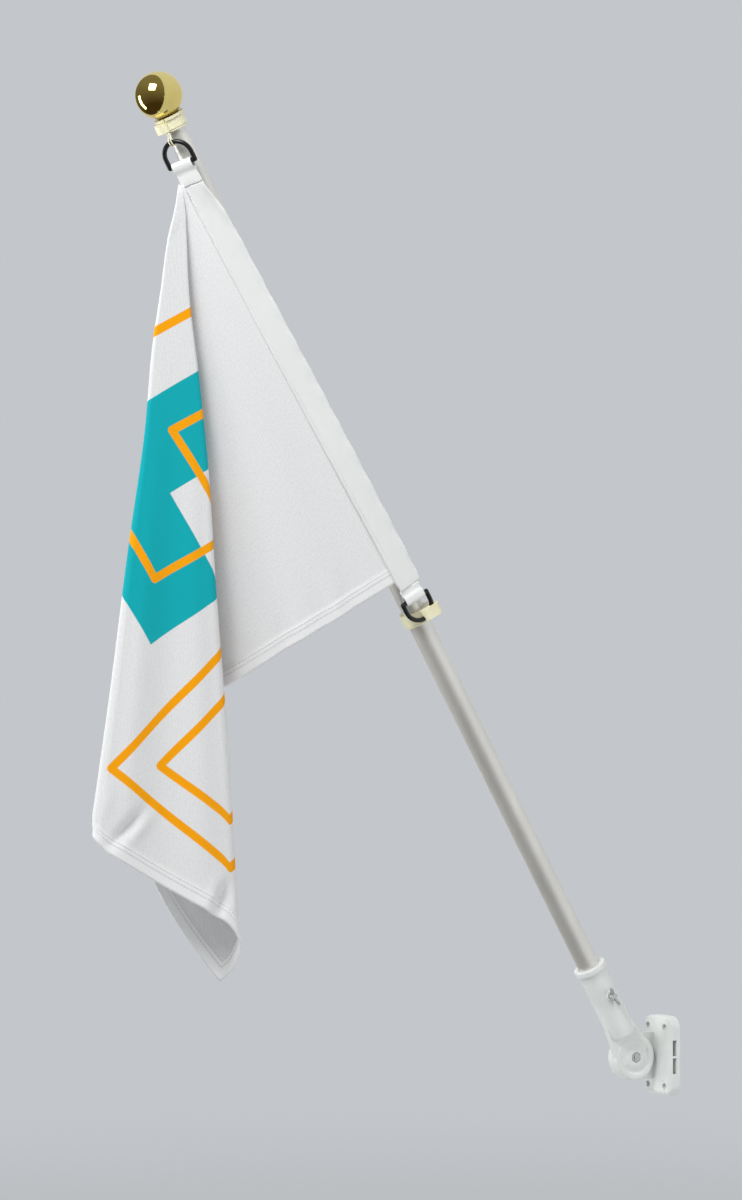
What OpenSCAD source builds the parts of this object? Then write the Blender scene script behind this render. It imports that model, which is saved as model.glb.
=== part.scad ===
// Wall-mounted flagpole: a cast bracket with a tilting socket, a two-piece aluminium
// pole, a ball finial, two swivelling pole rings and a small flag hung from them.
// Units are millimetres. The origin is the centre of the bracket's wall face. +Z is up,
// the wall is the plane X = 0 and the pole leans out towards -X. The tilt axis lies along Y.

/* [Bracket base] */
// Width of the base across the wall
base_w = 50; // [41:1:70]
// Height of the base up the wall
base_h = 89; // [74:1:120]
// Thickness of the base off the wall
base_t = 15; // [12:0.5:18]
// Corner radius of the base seen from the front
base_corner_r = 13; // [6:0.5:16]
// Radius that rounds the base's front edges
base_edge_r = 7; // [3:0.5:9]
// From each screw hole's centre to the base's side edge
hole_inset_y = 9; // [8:0.1:11]
// From each screw hole's centre to the base's top or bottom edge
hole_inset_z = 11.5; // [10:0.5:14]
// Diameter of each screw hole
screw_hole_d = 5.2; // [3.5:0.1:6]
// Length of each strap slot up the wall
slot_len = 17.5; // [12:0.5:21]
// Thickness of the strap slots
slot_t = 5; // [4.5:0.1:6]
// Solid bridge between the two strap slots
slot_bridge = 2.4; // [2:0.1:5]

/* [Tilting arm] */
// Clear gap between the clamp discs and the front of the base
disc_clear = 4.5; // [4:0.1:12]
// Lean of the pole from upright at rest
pole_lean = 30; // [0:1:60]
// Diameter of the two clamp discs
disc_d = 51; // [42:0.5:62]
// Thickness of the arm's clamp disc
arm_disc_t = 8.6; // [7:0.2:10]
// Thickness of the base's clamp disc
lug_disc_t = 8.5; // [7:0.5:11]
// Distance from the pole's centre plane to the arm disc's near face
disc_face = 4; // [3:0.5:6]
// Wall of the pole socket
socket_wall = 3; // [2.4:0.1:5]
// How far the rolled rim stands out from the socket
rim_proud = 2.5; // [2:0.1:4]
// Height of the rolled rim
rim_h = 7; // [5:0.5:10]
// Distance from the tilt axis to the socket's mouth
socket_mouth = 122; // [101:1:147]
// Gap along the pole between the clamp discs' edge and the socket's ledge
socket_clear = 8.1; // [5:0.1:12]
// Thickness of the socket's floor
socket_floor_t = 4; // [3:0.5:6]
// Diameter of the pivot bolt's shank
bolt_d = 6; // [5:0.5:8]

/* [Wing screw] */
// Distance from the tilt axis to the wing screw
wing_screw_at = 83; // [69:1:100]
// Diameter of the wing screw's shank
wing_shank_d = 5; // [4:0.5:6]
// Span across the two wings
wing_span = 23; // [18:0.5:28]

/* [Pole] */
// Outer diameter of the lower tube
lower_tube_d = 25.4; // [21:0.1:31]
// Wall of the lower tube
lower_wall = 1.3; // [1:0.1:1.4]
// Length of the lower tube
lower_len = 605.4; // [500:0.1:900]
// Gap all round between the upper tube and the lower one it seats in
tube_gap = 0.3; // [0.1:0.05:0.5]
// Wall of the upper tube
upper_wall = 1.2; // [1:0.1:2]
// Length of the upper tube
upper_len = 560; // [540:1:900]
// Length of the upper tube inside the lower one
tube_overlap = 34; // [25:1:60]

/* [Finial] */
// Diameter of the ball
ball_d = 50; // [38:1:70]

/* [Pole rings] */
// Height of the upper ring with its flange
upper_ring_h = 15.5; // [14:0.5:26]
// How far the upper ring's flange stands out from the tube
flange_reach = 5.4; // [5:0.1:8]
// Height of the lower ring
lower_ring_h = 15; // [14:0.5:20]
// Wall of the lower turning ring
lower_ring_wall = 2.2; // [1.6:0.1:4]
// Thickness of the buckles' bar
buckle_bar = 5; // [4:0.25:5.5]
// Width across each buckle, bar centre to bar centre
buckle_w = 31.5; // [30:0.5:38]
// Length of each buckle, bar centre to bar centre
buckle_len = 25; // [24:0.5:34]
// Direction the upper buckle faces, about the pole
upper_face_az = 214; // [208:1:222]
// Direction the lower buckle faces, about the pole
lower_face_az = 264; // [260:1:270]

/* [Flag] */
// Length of the cloth along the pole, as cut
flag_hoist = 478; // [390:1:580]
// Length of the cloth away from the pole, as cut
flag_fly = 650; // [540:1:780]
// Width of the webbing header
header_w = 31; // [25:0.5:34]
// Width of the webbing tabs at the header's ends
tab_w = 24; // [20:0.5:25.5]
// Thickness of the webbing
webbing_t = 2.4; // [1.6:0.1:3]

/* [Hidden] */
$fn = 64;

cast_white = [0.84, 0.86, 0.85];
zinc = [0.72, 0.73, 0.74];
satin_silver = [0.83, 0.83, 0.82];
gold = [0.86, 0.68, 0.28];
cream = [0.93, 0.91, 0.78];
black_plastic = [0.09, 0.09, 0.1];
white_cloth = [0.95, 0.95, 0.96];

run = 0.3;              // gap between pieces that turn on each other
slip = 0.1;             // gap between pieces that are pushed together
eps = 1;                // how far a cut runs past a face
slot_from_wall = 4.5;   // wall left behind the strap slots
sink_t = 3.4;           // depth of the screw holes' counterbores
sink_wide = 2;          // how much wider than its hole each counterbore is

hinge_out = base_t + disc_clear + disc_d / 2;
ledge_at = disc_d / 2 + socket_clear;
socket_floor = ledge_at + socket_floor_t;
hole_gap_y = base_w - 2 * hole_inset_y;
hole_gap_z = base_h - 2 * hole_inset_z;
socket_d = lower_tube_d + 2 * run + 2 * socket_wall;
rim_d = socket_d + 2 * rim_proud;
upper_tube_d = lower_tube_d - 2 * lower_wall - 2 * tube_gap;
upper_sleeve_wall = 1.5;
lower_sleeve_wall = 1.2;
upper_flange_d = upper_tube_d + 2 * flange_reach;
lower_ring_bore = lower_tube_d + 2 * slip + 2 * lower_sleeve_wall + 2 * run;
lower_ring_d = lower_ring_bore + 2 * lower_ring_wall;

// Clamp discs, measured along Y. The arm's disc is the nearer one.
arm_disc_y0 = -disc_face;
arm_disc_y1 = arm_disc_y0 + arm_disc_t;
lug_disc_y0 = arm_disc_y1 + run;
lug_disc_y1 = lug_disc_y0 + lug_disc_t;
nut_recess_depth = 3.2;
nut_across = 9.6;       // across the flats
nut_gap = 0.6;          // round the nut in its recess
nut_t = 3.2;
washer_t = 1.2;
washer_d = 14;
bolt_end = 1.6;         // bolt beyond the near face of the arm's disc
bolt_head_t = 4;
rosette_r = 8;          // radius of the raised boss round the nut's recess
nut_seat = 0.9;         // how far that boss stands out from the disc's face
boss_proud = 1.4;       // the wing screw's boss stands out from the socket
boss_root_d = 15;       // width of that boss inside the socket
boss_face_d = 12;       // and at its face

// Stations along the pole, measured from the tilt axis
tube_foot = socket_floor + 1;
joint_at = tube_foot + lower_len;
pole_top = joint_at + upper_len - tube_overlap;
ball_gap = 0.5;
plug_len = 24;
stud_d = 8;             // threaded stud between the plug and the ball
stud_reach = 10;        // how far the stud goes into the ball
ball_at = pole_top + ball_gap + ball_d / 2;
ring_proud = 2.5;       // the upper ring's flange stands above the tube's end
upper_ring_top = pole_top + ring_proud;
upper_ring_foot = upper_ring_top - upper_ring_h;
flange_t = 3;
bead_t = 2;
link_drop = 9;          // from the upper ring's foot to the top of the buckle's arc
buckle_r = buckle_w / 2;
upper_arc_at = upper_ring_foot - link_drop - buckle_r;
upper_bar_at = upper_arc_at + buckle_r - buckle_len;
upper_tab_run = 23.5;   // webbing between each buckle's bar and the header
lower_tab_run = 14;
header_top = upper_bar_at - upper_tab_run;
header_spare = 14;      // webbing of the header beyond the cloth's hoist edge
header_foot = header_top - flag_hoist - header_spare;
lower_bar_at = header_foot - lower_tab_run;
lower_arc_at = lower_bar_at - buckle_len + buckle_r;
lower_ring_drop = 21.5; // from the centre of the lower buckle's arc to the ring's foot
lower_ring_foot = lower_arc_at - lower_ring_drop;
ring_wall = 2;
lobe_az = 191;          // direction of the upper ring's clamping lobe
lobe_w = 11;
lobe_reach = 22;
clamp_screw_out = 18;   // from the pole's axis to the clamping screw
clamp_screw_d = 3.2;
link_wire = 1.3;
link_leg = 1.5;         // from the link's middle to each leg
foot_band_t = 2;        // fixed band under the lower turning ring
upper_buckle_out = upper_flange_d / 2 + 3.2; // from the pole's axis to the upper buckle's bar
lower_buckle_out = lower_ring_d / 2 + run + buckle_bar / 2;

function dir3(alpha, slope) = [sin(alpha), slope, -cos(alpha)];
function lerp(a, b, t) = a + (b - a) * t;

// Puts children on the pole: local +Z runs up the pole, local +X faces the wall side.
module on_pole(at = 0, az = 0) {
    translate([-hinge_out, 0, 0])
        rotate([0, -pole_lean, 0])
            translate([0, 0, at])
                rotate([0, 0, az])
                    children();
}

// A tube standing on Z = 0.
module tube(d, wall, len) {
    difference() {
        cylinder(d = d, h = len);
        translate([0, 0, -eps])
            cylinder(d = d - 2 * wall, h = len + 2 * eps);
    }
}

// A cylinder along Y from y0 to y1.
module along_y(d, y0, y1) {
    translate([0, y1, 0])
        rotate([90, 0, 0])
            cylinder(d = d, h = y1 - y0);
}

// A hexagonal prism along Y from y0 to y1.
module hex_along_y(across, y0, y1) {
    translate([0, y1, 0])
        rotate([90, 0, 0])
            cylinder(d = across / cos(30), h = y1 - y0, $fn = 6);
}

// A rectangle with round corners, made of plain shapes so that it stays exact.
module round_rect(w, h, r) {
    square([w - 2 * r, h], center = true);
    square([w, h - 2 * r], center = true);
    for (x = [-1, 1], y = [-1, 1])
        translate([x * (w / 2 - r), y * (h / 2 - r)])
            circle(r = r);
}

// The outline of a plate of thickness t whose two front corners are round.
module round_front(span, t, r) {
    translate([-t + r, -span / 2])
        square([t - r, span]);
    translate([-t, -span / 2 + r])
        square([t, span - 2 * r]);
    for (s = [-1, 1])
        translate([-t + r, s * (span / 2 - r)])
            circle(r = r);
}

module base_plate() {
    intersection() {
        rotate([90, 0, -90])
            linear_extrude(base_t)
                round_rect(base_w, base_h, base_corner_r);
        translate([0, 0, -base_h / 2 - eps])
            linear_extrude(base_h + 2 * eps)
                round_front(base_w, base_t, base_edge_r);
        translate([0, base_w / 2 + eps, 0])
            rotate([90, 0, 0])
                linear_extrude(base_w + 2 * eps)
                    round_front(base_h, base_t, base_edge_r);
    }
}

// The fixed half of the tilt joint: a disc on a solid neck.
module base_lug() {
    translate([-hinge_out, 0, 0])
        along_y(disc_d, lug_disc_y0, lug_disc_y1);
    translate([-hinge_out, lug_disc_y0, -disc_d / 2])
        cube([hinge_out - base_t / 2, lug_disc_t, disc_d]);
}

module strap_slots() {
    for (s = [-1, 1])
        translate([-slot_t - slot_from_wall, -base_w / 2 - eps, s * (slot_len + slot_bridge) / 2 - slot_len / 2])
            cube([slot_t, base_w + 2 * eps, slot_len]);
}

module bracket_base() {
    color(cast_white)
        difference() {
            union() {
                base_plate();
                base_lug();
            }
            for (y = [-1, 1], z = [-1, 1])
                translate([0, y * hole_gap_y / 2, z * hole_gap_z / 2])
                    rotate([0, -90, 0]) {
                        translate([0, 0, -eps])
                            cylinder(d = screw_hole_d, h = base_t + 2 * eps);
                        translate([0, 0, base_t - sink_t])
                            cylinder(d = screw_hole_d + sink_wide, h = base_t);
                    }
            strap_slots();
            translate([-hinge_out, 0, 0])
                along_y(bolt_d + 2 * slip, lug_disc_y0 - eps, lug_disc_y1 + eps);
        }
}

module pivot_bolt() {
    color(zinc)
        translate([-hinge_out, 0, 0]) {
            along_y(bolt_d, arm_disc_y0 - bolt_end, lug_disc_y1 + washer_t + eps);
            hex_along_y(nut_across, lug_disc_y1 + washer_t, lug_disc_y1 + washer_t + bolt_head_t);
        }
}

module pivot_washer() {
    color(zinc)
        translate([-hinge_out, 0, 0])
            difference() {
                along_y(washer_d, lug_disc_y1, lug_disc_y1 + washer_t);
                along_y(bolt_d + 2 * slip, lug_disc_y1 - eps, lug_disc_y1 + washer_t + eps);
            }
}

// The moving half of the tilt joint, with its stepped near face.
module arm_disc() {
    rotate([90, 0, 0])
        rotate_extrude()
            polygon([
                [0, -arm_disc_y1], [disc_d / 2, -arm_disc_y1],
                [disc_d / 2, disc_face - 2.2], [disc_d / 2 - 0.5, disc_face - 1],
                [disc_d / 2 - 1.4, disc_face - 0.3], [disc_d / 2 - 2.6, disc_face],
                [disc_d / 2 - 5, disc_face], [disc_d / 2 - 6.6, disc_face - 0.7],
                [disc_d / 2 - 8, disc_face - 2.1], [disc_d / 2 - 9.2, disc_face - 2.4],
                [disc_d / 2 - 10.6, disc_face - 2], [rosette_r + 4, disc_face - 0.4],
                [rosette_r + 1.5, disc_face + 0.6], [rosette_r, disc_face + nut_seat],
                [0, disc_face + nut_seat]
            ]);
}

// The neck that widens from the socket into the disc.
module arm_neck() {
    intersection() {
        hull() {
            translate([0, arm_disc_y1, 0])
                rotate([90, 0, 0])
                    cylinder(d = disc_d - 4, h = arm_disc_t - 0.8, $fn = 48);
            translate([-socket_d / 2 + 1, arm_disc_y0 + 0.8, ledge_at - 3])
                cube([socket_d - 2, arm_disc_t - 0.8, 22]);
        }
        translate([-disc_d, -disc_d, 0])
            cube([2 * disc_d, 2 * disc_d, 2 * ledge_at]);
    }
}

module socket_body() {
    translate([0, 0, ledge_at])
        cylinder(d = socket_d, h = socket_mouth - ledge_at);
    translate([0, 0, socket_mouth - rim_h])
        rotate_extrude() {
            translate([socket_d / 2 - 3, 0])
                square([(rim_d - socket_d) / 2 + 1.5, rim_h]);
            translate([rim_d / 2 - 1.75, 1.75])
                circle(r = 1.75);
            translate([rim_d / 2 - 1.75, rim_h - 1.75])
                circle(r = 1.75);
            translate([rim_d / 2 - 2, 1.75])
                square([2, rim_h - 3.5]);
        }
    translate([0, 0, wing_screw_at])
        rotate([90, 0, 0])
            cylinder(d1 = boss_root_d, d2 = boss_face_d, h = socket_d / 2 + boss_proud);
}

module bracket_arm() {
    color(cast_white)
        on_pole()
            difference() {
                union() {
                    arm_disc();
                    arm_neck();
                    socket_body();
                }
                translate([0, 0, socket_floor])
                    cylinder(d = lower_tube_d + 2 * run, h = socket_mouth);
                along_y(bolt_d + 2 * slip, arm_disc_y0 - 2 * eps, arm_disc_y1 + eps);
                hex_along_y(nut_across + 2 * nut_gap, arm_disc_y0 - 2 * eps, arm_disc_y0 - nut_seat + nut_recess_depth);
                translate([0, 0, wing_screw_at])
                    along_y(wing_shank_d + 2 * slip, -socket_d / 2 - 6, 0);
            }
}

module pivot_nut() {
    color(zinc)
        on_pole()
            difference() {
                hex_along_y(nut_across, arm_disc_y0 - nut_seat + nut_recess_depth - nut_t,
                    arm_disc_y0 - nut_seat + nut_recess_depth);
                along_y(bolt_d + 2 * slip, -disc_d, disc_d);
            }
}

// Thumb screw that pinches the pole; its wings lie along the pole.
module wing_screw() {
    tip = lower_tube_d / 2 + run;
    seat = socket_d / 2 + boss_proud + 1;
    color(zinc)
        on_pole(wing_screw_at)
            rotate([90, 0, 0]) {
                translate([0, 0, tip])
                    cylinder(d = wing_shank_d, h = seat + 2 - tip);
                translate([0, 0, seat])
                    cylinder(d = 8, h = 4);
                for (s = [-1, 1])
                    hull() {
                        translate([-1.1, s * 2 - 1, seat + 0.5])
                            cube([2.2, 2, 3]);
                        translate([-0.9, s * (wing_span / 2 - 3), seat + 5.5])
                            rotate([0, 90, 0])
                                cylinder(d = 6, h = 1.8, $fn = 24);
                    }
            }
}

module pole_lower_tube() {
    color(satin_silver)
        on_pole(tube_foot)
            tube(lower_tube_d, lower_wall, lower_len);
}

module pole_upper_tube() {
    color(satin_silver)
        on_pole(joint_at - tube_overlap)
            tube(upper_tube_d, upper_wall, upper_len);
}

// Threaded plug in the tube's end that the ball screws onto.
module finial_plug() {
    color(gold)
        on_pole(pole_top - plug_len) {
            cylinder(d = upper_tube_d - 2 * upper_wall - 2 * slip, h = plug_len);
            cylinder(d = stud_d, h = plug_len + ball_gap + stud_reach);
        }
}

module finial_ball() {
    color(gold)
        on_pole(ball_at)
            difference() {
                sphere(d = ball_d, $fn = 96);
                translate([0, 0, -ball_d])
                    cylinder(d = stud_d + 2 * slip, h = ball_d / 2 + stud_reach + 2);
            }
}

// Fixed sleeve of the upper ring: a flange above and a bead below carry the turning ring.
module upper_ring_sleeve() {
    bore = upper_tube_d + 2 * slip;
    color(cream)
        on_pole(upper_ring_foot)
            difference() {
                union() {
                    cylinder(d = bore + 2 * upper_sleeve_wall, h = upper_ring_h);
                    translate([0, 0, upper_ring_h - flange_t])
                        cylinder(d = upper_flange_d, h = flange_t);
                    cylinder(d = upper_flange_d - 4, h = bead_t);
                }
                translate([0, 0, -eps])
                    cylinder(d = bore, h = upper_ring_h + 2 * eps);
                rotate([0, 0, 218])
                    translate([bore / 2 + 2, -0.6, upper_ring_h - flange_t - eps])
                        cube([upper_flange_d, 1.2, flange_t + 2 * eps]);
            }
}

module lower_ring_sleeve() {
    bore = lower_tube_d + 2 * slip;
    color(cream)
        on_pole(lower_ring_foot)
            difference() {
                union() {
                    cylinder(d = bore + 2 * lower_sleeve_wall, h = lower_ring_h);
                    cylinder(d = lower_ring_d - 0.6, h = foot_band_t);
                }
                translate([0, 0, -eps])
                    cylinder(d = bore, h = lower_ring_h + 2 * eps);
            }
}

// A clamping lobe beside a ring: a block with a round end, standing out along local +X.
module lobe(w, h, reach, r) {
    linear_extrude(h) {
        translate([0, -w / 2])
            square([reach - r, w]);
        translate([reach - r, -w / 2 + r])
            square([r, w - 2 * r]);
        for (s = [-1, 1])
            translate([reach - r, s * (w / 2 - r)])
                circle(r = r);
    }
}

module upper_ring() {
    inner = upper_tube_d + 2 * slip + 2 * upper_sleeve_wall + 2 * run;
    h = upper_ring_h - flange_t - bead_t - 2 * run;
    color(cream)
        on_pole(upper_ring_foot + bead_t + run)
            difference() {
                union() {
                    cylinder(d = inner + 2 * ring_wall, h = h);
                    rotate([0, 0, lobe_az])
                        lobe(lobe_w, h, lobe_reach, 3);
                    rotate([0, 0, upper_face_az])
                        lobe(5.6, h - 1.5, upper_buckle_out + 1.2, 1.2);
                }
                translate([0, 0, -eps])
                    cylinder(d = inner, h = h + 2 * eps);
                rotate([0, 0, lobe_az])
                    translate([clamp_screw_out, 0, h / 2])
                        rotate([90, 0, 0])
                            cylinder(d = clamp_screw_d + 2 * slip, h = lobe_w + 0.6, center = true);
                rotate([0, 0, upper_face_az])
                    for (s = [-1, 1])
                        translate([upper_buckle_out - 0.6, s * link_leg, -eps])
                            cylinder(d = link_wire + 2 * slip, h = h - 1);
            }
}

module upper_ring_screw() {
    color(zinc)
        on_pole(upper_ring_foot + bead_t + run + (upper_ring_h - flange_t - bead_t - 2 * run) / 2, lobe_az)
            translate([clamp_screw_out, 0, 0])
                rotate([90, 0, 0])
                    cylinder(d = clamp_screw_d, h = lobe_w - 0.4, center = true);
}

// Two-legged wire link that hangs from the ring and hooks under the buckle's arc.
module upper_link() {
    bend = buckle_bar / 2 + run + link_wire / 2;
    arc_top = upper_arc_at + buckle_r;
    leg_top = upper_ring_foot + bead_t + run + 5;
    color(cream)
        on_pole(0, upper_face_az) {
            for (s = [-1, 1])
                translate([0, s * link_leg, 0]) {
                    translate([upper_buckle_out - 0.6, 0, upper_ring_foot - 3])
                        cylinder(d = link_wire, h = leg_top - upper_ring_foot + 3, $fn = 24);
                    hull() {
                        translate([upper_buckle_out - 0.6, 0, upper_ring_foot - 3])
                            sphere(d = link_wire, $fn = 16);
                        translate([upper_buckle_out + bend, 0, arc_top + 2.5])
                            sphere(d = link_wire, $fn = 16);
                    }
                    translate([upper_buckle_out + bend, 0, arc_top])
                        cylinder(d = link_wire, h = 2.5, $fn = 24);
                    translate([upper_buckle_out, 0, arc_top])
                        rotate([90, 0, 0])
                            rotate([0, 0, 180])
                                rotate_extrude(angle = 180, $fn = 48)
                                    translate([bend, 0])
                                        circle(d = link_wire, $fn = 16);
                }
            translate([upper_buckle_out - bend, link_leg, arc_top])
                rotate([90, 0, 0])
                    cylinder(d = link_wire, h = 2 * link_leg, $fn = 24);
        }
}

// D-shaped buckle in the plane local X = 0, arc end towards +Z, straight bar below.
module buckle(bar = buckle_bar) {
    leg = buckle_len - buckle_r;
    rotate([90, 0, 90])
        rotate_extrude(angle = 180)
            translate([buckle_r, 0])
                circle(d = bar, $fn = 32);
    for (s = [-1, 1]) {
        translate([0, s * buckle_r, -leg])
            cylinder(d = bar, h = leg, $fn = 32);
        translate([0, s * buckle_r, -leg])
            sphere(d = bar, $fn = 32);
    }
    translate([0, buckle_r, -leg])
        rotate([90, 0, 0])
            cylinder(d = bar, h = buckle_w, $fn = 32);
}

module upper_buckle() {
    color(black_plastic)
        on_pole(upper_arc_at, upper_face_az)
            translate([upper_buckle_out, 0, 0])
                buckle();
}

module lower_buckle() {
    color(black_plastic)
        on_pole(lower_arc_at, lower_face_az)
            translate([lower_buckle_out, 0, 0])
                rotate([180, 0, 0])
                    buckle();
}

// Turning part of the lower ring, with the lug that the buckle's arc runs through.
module lower_ring() {
    color(cream)
        on_pole(lower_ring_foot, lower_face_az)
            difference() {
                union() {
                    translate([0, 0, foot_band_t + run])
                        cylinder(d = lower_ring_d, h = lower_ring_h - foot_band_t - run);
                    translate([0, (buckle_w + buckle_bar) / 4 + 1.4, foot_band_t + run])
                        lobe((buckle_w + buckle_bar) / 2 + 4, lower_ring_h - foot_band_t - run, lower_buckle_out + 5.5, 5);
                }
                translate([0, 0, -eps])
                    cylinder(d = lower_ring_bore, h = lower_ring_h + 2 * eps);
                translate([lower_buckle_out, 0, lower_arc_at - lower_ring_foot])
                    rotate([180, 0, 0])
                        buckle(buckle_bar + 2 * run);
            }
}

// Webbing tab sewn round a buckle's bar. The bar is at the origin along Y, and the
// webbing runs towards -Z.
module tab(reach) {
    rotate([90, 0, 0])
        translate([0, 0, -tab_w / 2])
            linear_extrude(tab_w)
                difference() {
                    union() {
                        circle(d = buckle_bar + 2 * run + 2.4);
                        translate([-webbing_t / 2 - 0.6, -reach])
                            square([webbing_t + 1.2, reach]);
                    }
                    circle(d = buckle_bar + 2 * run);
                }
}

module upper_tab() {
    color(white_cloth)
        on_pole(upper_bar_at, upper_face_az)
            translate([upper_buckle_out, 0, 0])
                tab(upper_tab_run - run);
}

module lower_tab() {
    color(white_cloth)
        on_pole(lower_bar_at, lower_face_az)
            translate([lower_buckle_out, 0, 0])
                rotate([180, 0, 0])
                    tab(lower_tab_run - run);
}

// The header is a flat band that turns a little about the pole along its length.
header_top_az = 221;
header_foot_az = 270;
header_top_out = 17.5;  // from the pole's axis to the header's middle layer
header_foot_out = 19.3;
function header_az(t) = lerp(header_top_az, header_foot_az, t);
function header_point(t, across, out) =
    let (az = header_az(t), s = lerp(header_top, header_foot, t), rad = lerp(header_top_out, header_foot_out, t) + out)
    [rad * cos(az) - across * sin(az), rad * sin(az) + across * cos(az), s];
header_steps = 16;

module flag_header() {
    half = header_w / 2;
    points = [for (i = [0:header_steps])
        let (t = i / header_steps)
        for (c = [[-half, -webbing_t / 2], [half, -webbing_t / 2], [half, webbing_t / 2], [-half, webbing_t / 2]])
            header_point(t, c[0], c[1])];
    sides = [for (i = [0:header_steps - 1], j = [0:3])
        let (a = i * 4 + j, b = i * 4 + (j + 1) % 4)
        each [[a, a + 4, b], [b, a + 4, b + 4]]];
    last = header_steps * 4;
    color(white_cloth)
        on_pole()
            polyhedron(points,
                concat(sides, [[0, 1, 2], [0, 2, 3], [last, last + 2, last + 1], [last, last + 3, last + 2]]));
}

// The hung cloth is a fan from the gathered top corner. A thread at angle phi from the
// hoist edge hangs along a ray; the folds turn the fan back on itself.
edge_top = header_point(0, -header_w / 2, 0);
edge_foot = header_point(1, -header_w / 2, 0);
gather = [edge_top[0] - webbing_t / 2, edge_top[1] - 4, header_top - 1]; // gathered corner, pole axes
gather_point = [
    -hinge_out + gather[0] * cos(pole_lean) - gather[2] * sin(pole_lean),
    gather[1],
    gather[0] * sin(pole_lean) + gather[2] * cos(pole_lean)
];
header_len = header_top - header_foot;

// Each fold is a ray: its direction from straight down, then how far it leans along Y
// per millimetre, on the cloth's way in and on its way out of the fold.
hoist_ray = [pole_lean + atan((edge_foot[0] - edge_top[0]) / header_len), (edge_foot[1] - edge_top[1]) / header_len];
left_fold = [-6.8, 0.104, 0.034];
right_fold = [4.8, 0.028, -0.006];
front_fold = [-9.9, -0.008, 0.014];
inner_fold = [2.8, 0.014, 0.022];
fly_lean = 0.022;
fold_take = [5.7, 1.8, 0.7, 0.4];    // degrees of cloth that each rounded fold takes up
phi_left = hoist_ray[0] - left_fold[0] + 0.5;
phi_right = phi_left + fold_take[0] + right_fold[0] - left_fold[0];
phi_front = phi_right + fold_take[1] + right_fold[0] - front_fold[0];
phi_inner = phi_front + fold_take[2] + inner_fold[0] - front_fold[0];
fly_ray = inner_fold[0] - (90 - phi_inner - fold_take[3]);
cloth_t = 2;
layer_gap = 2.4;                     // offset of each layer from the last, along Y
cloth_steps = 10;
ray_start = 12;

function ray_length(phi) = min(flag_hoist / cos(min(phi, 89)), flag_fly / sin(max(phi, 1)));

// One flat layer of the fan, between two rays, as a thin closed plate.
module cloth_layer(layer, phi, ray, slope) {
    corner = atan(flag_fly / flag_hoist);
    marks = [for (i = [0:cloth_steps]) lerp(phi[0], phi[1], i / cloth_steps)];
    has_corner = phi[0] < corner && phi[1] > corner;
    phis = has_corner
        ? concat([for (p = marks) if (p < corner - 0.3) p], [corner], [for (p = marks) if (p > corner + 0.3) p])
        : marks;
    n = len(phis);
    rims = [for (p = phis)
        let (t = (p - phi[0]) / (phi[1] - phi[0]), d = dir3(lerp(ray[0], ray[1], t), lerp(slope[0], slope[1], t)))
        [gather_point + d * ray_start, gather_point + d * ray_length(p)]];
    offset_y = [0, -layer * layer_gap, 0];
    points = [for (side = [-1, 1], k = [0, 1], i = [0:n - 1])
        rims[i][k] + offset_y + [0, side * cloth_t / 2, 0]];
    top0 = 0;
    foot0 = n;
    top1 = 2 * n;
    foot1 = 3 * n;
    faces = concat(
        [for (i = [0:n - 2]) each [[top0 + i, foot0 + i, top0 + i + 1], [top0 + i + 1, foot0 + i, foot0 + i + 1]]],
        [for (i = [0:n - 2]) each [[top1 + i, top1 + i + 1, foot1 + i], [top1 + i + 1, foot1 + i + 1, foot1 + i]]],
        [for (i = [0:n - 2]) each [[top0 + i, top0 + i + 1, top1 + i], [top0 + i + 1, top1 + i + 1, top1 + i]]],
        [for (i = [0:n - 2]) each [[foot0 + i, foot1 + i, foot0 + i + 1], [foot0 + i + 1, foot1 + i, foot1 + i + 1]]],
        [[top0, top1, foot0], [foot0, top1, foot1]],
        [[top0 + n - 1, foot0 + n - 1, top1 + n - 1], [foot0 + n - 1, foot1 + n - 1, top1 + n - 1]]
    );
    flip = ray[1] < ray[0];
    color(white_cloth)
        polyhedron(points, flip ? faces : [for (f = faces) [f[2], f[1], f[0]]]);
}

module flag_back_panel() {
    cloth_layer(0, [0, phi_left], [hoist_ray[0], left_fold[0]], [hoist_ray[1], left_fold[1]]);
}

module flag_middle_fold() {
    cloth_layer(1, [phi_left + fold_take[0], phi_right], [left_fold[0], right_fold[0]], [left_fold[2], right_fold[1]]);
}

module flag_fly_end() {
    cloth_layer(2, [phi_inner + fold_take[3], 90], [inner_fold[0], fly_ray], [inner_fold[2], fly_lean]);
}

module flag_inner_fold() {
    cloth_layer(3, [phi_front + fold_take[2], phi_inner], [front_fold[0], inner_fold[0]], [front_fold[2], inner_fold[1]]);
}

module flag_front_panel() {
    cloth_layer(4, [phi_right + fold_take[1], phi_front], [right_fold[0], front_fold[0]], [right_fold[2], front_fold[1]]);
}

bracket_base();
pivot_bolt();
pivot_washer();
bracket_arm();
pivot_nut();
wing_screw();
pole_lower_tube();
pole_upper_tube();
finial_plug();
finial_ball();
upper_ring_sleeve();
lower_ring_sleeve();
upper_ring();
upper_ring_screw();
upper_link();
upper_buckle();
lower_ring();
lower_buckle();
upper_tab();
lower_tab();
flag_header();
flag_back_panel();
flag_middle_fold();
flag_inner_fold();
flag_fly_end();
flag_front_panel();
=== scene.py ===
# %% [markdown]
# # A wall-mounted flagpole
# The object is a two-piece aluminium pole in a cast bracket, with a gold ball on top and a
# small flag hung from two turning rings. Its hard parts come from an exact CAD model, so
# their places are already right. What this lesson adds is the part that CAD is poor at: the
# hanging cloth, the sewn header, the soft edges of the castings and the finish of each piece.

# %% Load the CAD frame
import math

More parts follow.
